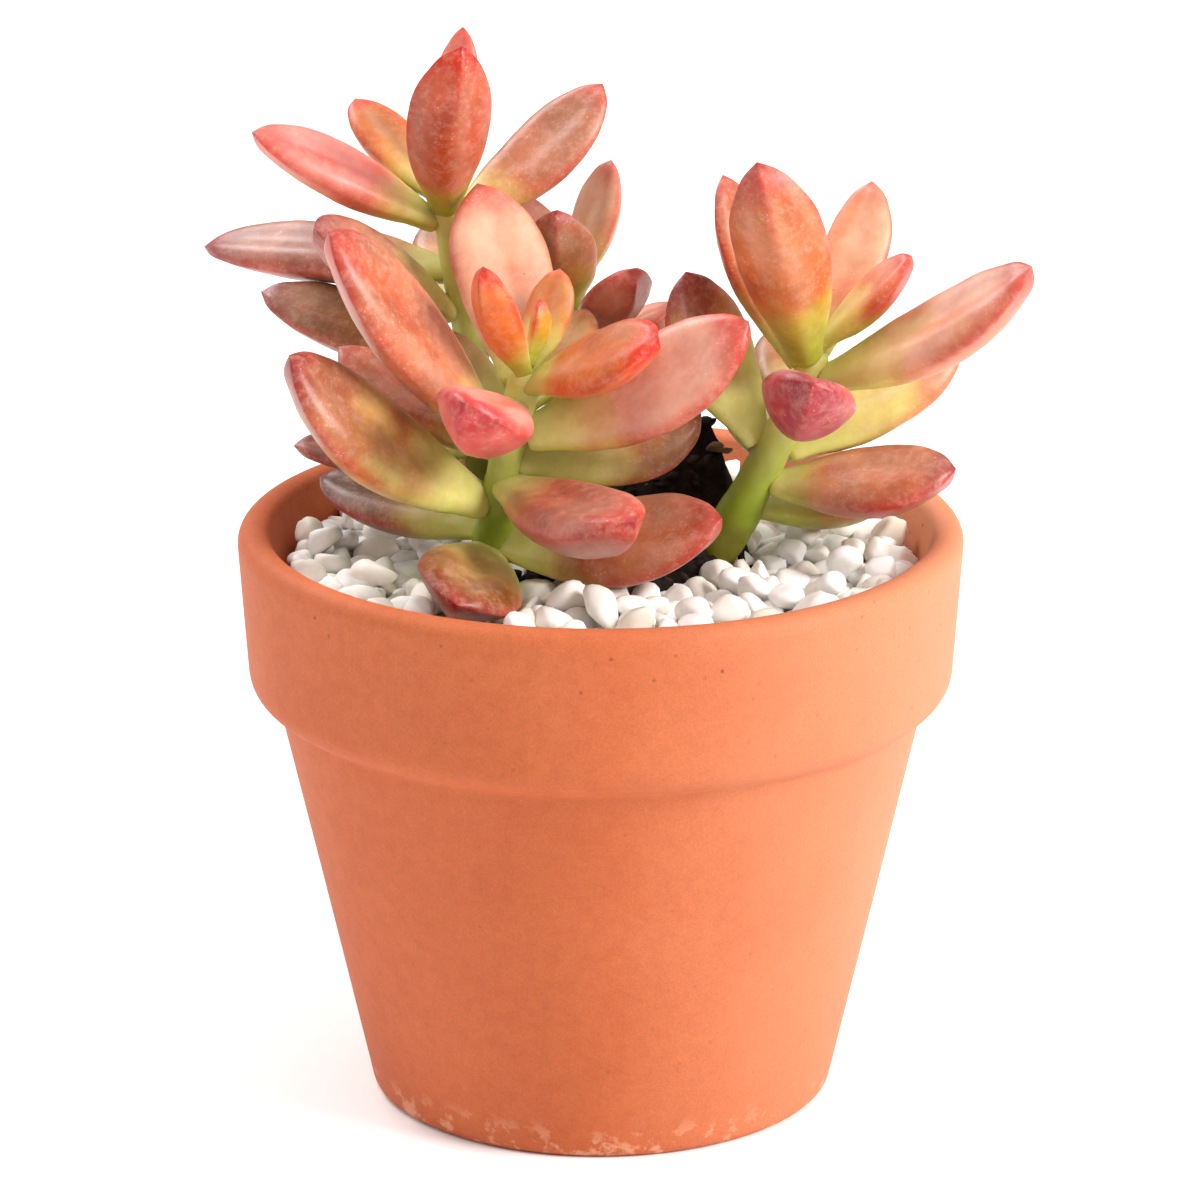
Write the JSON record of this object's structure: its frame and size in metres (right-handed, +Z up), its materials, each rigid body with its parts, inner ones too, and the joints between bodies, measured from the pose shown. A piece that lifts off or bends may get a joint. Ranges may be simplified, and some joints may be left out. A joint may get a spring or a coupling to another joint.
{
  "type": "potted succulent",
  "caption": "Small leafy succulent with plump pointed leaves on short stems, planted in a round clay pot with a drain hole and a layer of white pebbles over dark soil; stands on its foot",
  "frame": {"origin": "centre of the pot's foot, on the surface it stands on", "axes": "+Z up along the pot's axis, +X to the right and +Y to the back as the plant is usually seen from the front"},
  "size_m": [0.1228, 0.1078, 0.1602],
  "materials": {
    "terracotta": "matte",
    "potting_soil": "matte",
    "white_pebbles": "matte",
    "stem": "satin",
    "leaf": "satin"
  },
  "bodies": {
    "root": {"leaf_a01": "leaf", "leaf_a02": "leaf", "leaf_a03": "leaf", "leaf_a04": "leaf", "leaf_a05": "leaf", "leaf_a07": "leaf", "leaf_a08": "leaf", "leaf_a09": "leaf", "leaf_b15": "leaf", "leaf_a11": "leaf", "leaf_a15": "leaf", "leaf_b01": "leaf", "leaf_b02": "leaf", "leaf_b03": "leaf", "leaf_b04": "leaf", "leaf_b05": "leaf", "leaf_b06": "leaf", "leaf_b07": "leaf", "leaf_b08": "leaf", "leaf_b09": "leaf", "leaf_b10": "leaf", "leaf_b11": "leaf", "leaf_b12": "leaf", "leaf_b13": "leaf", "leaf_b14": "leaf", "leaf_b16": "leaf", "leaf_b17": "leaf", "leaf_c01": "leaf", "leaf_c02": "leaf", "leaf_c03": "leaf", "leaf_c04": "leaf", "leaf_c05": "leaf", "leaf_c06": "leaf", "leaf_c07": "leaf", "leaf_c08": "leaf", "leaf_c09": "leaf", "leaf_c10": "leaf", "leaf_c12": "leaf", "leaf_c13": "leaf", "leaf_d01": "leaf", "leaf_d02": "leaf", "leaf_d03": "leaf", "leaf_d04": "leaf", "leaf_d05": "leaf", "leaf_d06": "leaf", "leaf_d07": "leaf", "pebble_bed": "white_pebbles", "pot": "terracotta", "soil": "potting_soil", "stem_a": "stem", "stem_b": "stem", "stem_c": "stem", "stem_d": "stem"}
  },
  "joints": []
}
